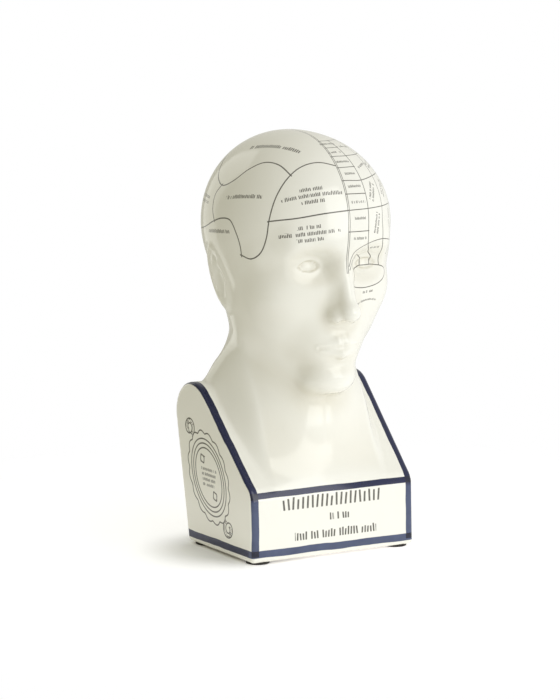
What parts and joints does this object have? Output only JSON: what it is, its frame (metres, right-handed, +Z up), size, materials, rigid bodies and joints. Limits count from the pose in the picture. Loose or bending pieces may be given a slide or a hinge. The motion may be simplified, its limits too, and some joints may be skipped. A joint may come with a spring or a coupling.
{
  "type": "phrenology head",
  "caption": "Glazed ceramic bald head and neck on a sloping block with blue bands and painted zone lines, standing on small dark foot pads.",
  "frame": {"origin": "centre of the overall footprint on the table, under the pads", "axes": "+Z up, the face looks along -Y, +X to the right seen from the front"},
  "size_m": [0.1342, 0.1504, 0.2843],
  "materials": {
    "glaze": "glossy cream-white glaze with navy bands and thin dark lines",
    "pads": "matt black-brown"
  },
  "bodies": {
    "root": {"head_and_block": "glaze", "pad_front_left": "pads", "pad_front_right": "pads", "pad_back_left": "pads", "pad_back_right": "pads"}
  },
  "joints": []
}
